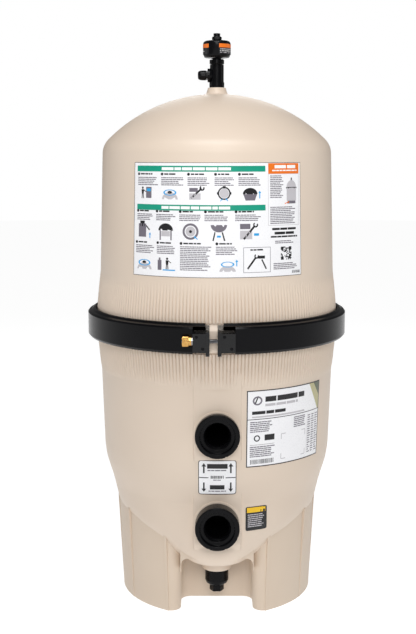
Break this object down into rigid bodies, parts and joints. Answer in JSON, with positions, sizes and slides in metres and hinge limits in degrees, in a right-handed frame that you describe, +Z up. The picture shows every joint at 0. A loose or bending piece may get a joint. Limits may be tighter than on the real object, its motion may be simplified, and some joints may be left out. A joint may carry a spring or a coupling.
{
  "type": "vertical grid pool filter",
  "caption": "Upright two-piece moulded pool filter tank on a tub base, with a hinged V-band clamp, front inlet and outlet ports, an air relief valve on top and filter grids inside.",
  "frame": {"origin": "on the floor under the tank axis", "axes": "+Z up, -Y is the front with the ports and the clamp bolt, +X to the right seen from the front"},
  "size_m": [0.596, 0.611, 1.285],
  "materials": {
    "shell_beige": "satin glass-filled moulding",
    "base_beige": "satin moulding",
    "black_moulding": "glossy",
    "black_cast": "glossy paint",
    "valve_plastic": "glossy",
    "band_steel": "bright rolled stainless",
    "zinc_steel": "zinc plated",
    "brass": "turned",
    "rubber": "matte",
    "grid_cloth": "woven mesh",
    "white_moulding": "matte",
    "label_white": "printed film",
    "label_black": "printed film",
    "label_orange": "printed film"
  },
  "bodies": {
    "tank": {"base_skirt": "base_beige", "bleed_screen": "white_moulding", "bleed_tube": "white_moulding", "clamp_band_rear": "band_steel", "clamp_cover_rear": "black_moulding", "clamp_pins": "zinc_steel", "grid_1": "grid_cloth", "grid_2": "grid_cloth", "grid_3": "grid_cloth", "grid_4": "grid_cloth", "grid_5": "grid_cloth", "grid_6": "grid_cloth", "grid_7": "grid_cloth", "grid_partial": "grid_cloth", "grid_spacer": "white_moulding", "inlet_diffuser": "white_moulding", "inlet_fitting": "black_moulding", "inlet_gasket": "rubber", "inlet_locknut": "black_moulding", "label_caution": "label_black", "label_instruction": "label_white", "label_ports": "label_white", "label_rating": "label_white", "manifold": "white_moulding", "outlet_elbow": "white_moulding", "outlet_fitting": "black_moulding", "outlet_gasket": "rubber", "outlet_locknut": "black_moulding", "standpipe": "white_moulding", "standpipe_seal": "rubber", "tank_bottom": "shell_beige", "tank_lid": "shell_beige", "tank_seal": "rubber", "tie_nut": "zinc_steel", "tie_rod": "zinc_steel", "valve_body": "valve_plastic", "valve_gasket": "rubber", "valve_spring": "zinc_steel"},
    "clamp_left": {"clamp_band_left": "band_steel", "clamp_cover_left": "black_moulding", "clamp_lug_left": "black_cast", "clamp_rivets_left": "zinc_steel"},
    "clamp_right": {"clamp_band_right": "band_steel", "clamp_cover_right": "black_moulding", "clamp_lug_right": "black_cast", "clamp_rivets_right": "zinc_steel"},
    "clamp_bolt": {"clamp_bolt": "zinc_steel"},
    "nut_carriage": {"clamp_washer": "zinc_steel"},
    "clamp_nut": {"clamp_nut": "brass"},
    "relief_knob": {"valve_knob": "valve_plastic", "label_knob": "label_orange"},
    "relief_sleeve": {"valve_sleeve": "valve_plastic"},
    "gauge_carriage": {"gauge_seal": "rubber"},
    "gauge_plug": {"gauge_plug": "valve_plastic"},
    "vent_carriage": {"vent_seal": "rubber"},
    "vent_cap": {"vent_cap": "valve_plastic"},
    "drain_carriage": {"drain_seal": "rubber"},
    "drain_plug": {"drain_plug": "black_moulding"}
  },
  "joints": [
    {"name": "clamp_nut_turn", "type": "hinge", "parent": "nut_carriage", "child": "clamp_nut", "pos_m": [-0.054, -0.3, 0.634], "axis": [-1, 0, 0], "range_deg": [0, 2880]},
    {"name": "clamp_nut_travel", "type": "slide", "parent": "clamp_bolt", "child": "nut_carriage", "axis": [-1, 0, 0], "range_m": [0, 0.0128]},
    {"name": "clamp_left_swing", "type": "hinge", "parent": "tank", "child": "clamp_left", "pos_m": [-0.2256, 0.1893, 0.634], "axis": [0, 0, -1], "range_deg": [0, 0.7286]},
    {"name": "clamp_right_swing", "type": "hinge", "parent": "tank", "child": "clamp_right", "pos_m": [0.2256, 0.1893, 0.634], "axis": [0, 0, 1], "range_deg": [0, 0.75]},
    {"name": "clamp_bolt_pivot", "type": "hinge", "parent": "clamp_right", "child": "clamp_bolt", "pos_m": [0.024, -0.3, 0.634], "axis": [0, 0, 1], "range_deg": [-0.75, 0]},
    {"name": "relief_knob_turn", "type": "hinge", "parent": "tank", "child": "relief_knob", "pos_m": [0, 0, 1.25], "axis": [0, 0, 1], "range_deg": [0, 90]},
    {"name": "relief_sleeve_lift", "type": "slide", "parent": "tank", "child": "relief_sleeve", "axis": [0, 0, 1], "range_m": [0, 0.003], "deforming": ["valve_spring"]},
    {"name": "gauge_plug_turn", "type": "hinge", "parent": "gauge_carriage", "child": "gauge_plug", "pos_m": [0, 0, 1.27], "axis": [0, 0, 1], "range_deg": [0, 2160]},
    {"name": "gauge_plug_travel", "type": "slide", "parent": "tank", "child": "gauge_carriage", "axis": [0, 0, 1], "range_m": [0, 0.0085]},
    {"name": "vent_cap_turn", "type": "hinge", "parent": "vent_carriage", "child": "vent_cap", "pos_m": [-0.0234, 0, 1.1925], "axis": [-1, 0, 0], "range_deg": [0, 1800]},
    {"name": "vent_cap_travel", "type": "slide", "parent": "tank", "child": "vent_carriage", "axis": [-1, 0, 0], "range_m": [0, 0.0101]},
    {"name": "drain_plug_turn", "type": "hinge", "parent": "drain_carriage", "child": "drain_plug", "pos_m": [0, -0.15, 0.0867], "axis": [0, 0, -1], "range_deg": [0, 1800]},
    {"name": "drain_plug_travel", "type": "slide", "parent": "tank", "child": "drain_carriage", "axis": [0, 0, -1], "range_m": [0, 0.0111]}
  ],
  "couplings": [
    {"joint": "clamp_right_swing", "follows": "clamp_left_swing", "ratio": 1},
    {"joint": "clamp_bolt_pivot", "follows": "clamp_left_swing", "ratio": -1},
    {"joint": "clamp_nut_travel", "follows": "clamp_left_swing", "m_per_rad": 0.99857},
    {"joint": "clamp_nut_turn", "follows": "clamp_left_swing", "ratio": 3952.3},
    {"joint": "relief_sleeve_lift", "follows": "relief_knob_turn", "m_per_rad": 0.0019},
    {"joint": "gauge_plug_travel", "follows": "gauge_plug_turn", "m_per_rad": 0.00022457},
    {"joint": "vent_cap_travel", "follows": "vent_cap_turn", "m_per_rad": 0.00031831},
    {"joint": "drain_plug_travel", "follows": "drain_plug_turn", "m_per_rad": 0.00035157}
  ]
}
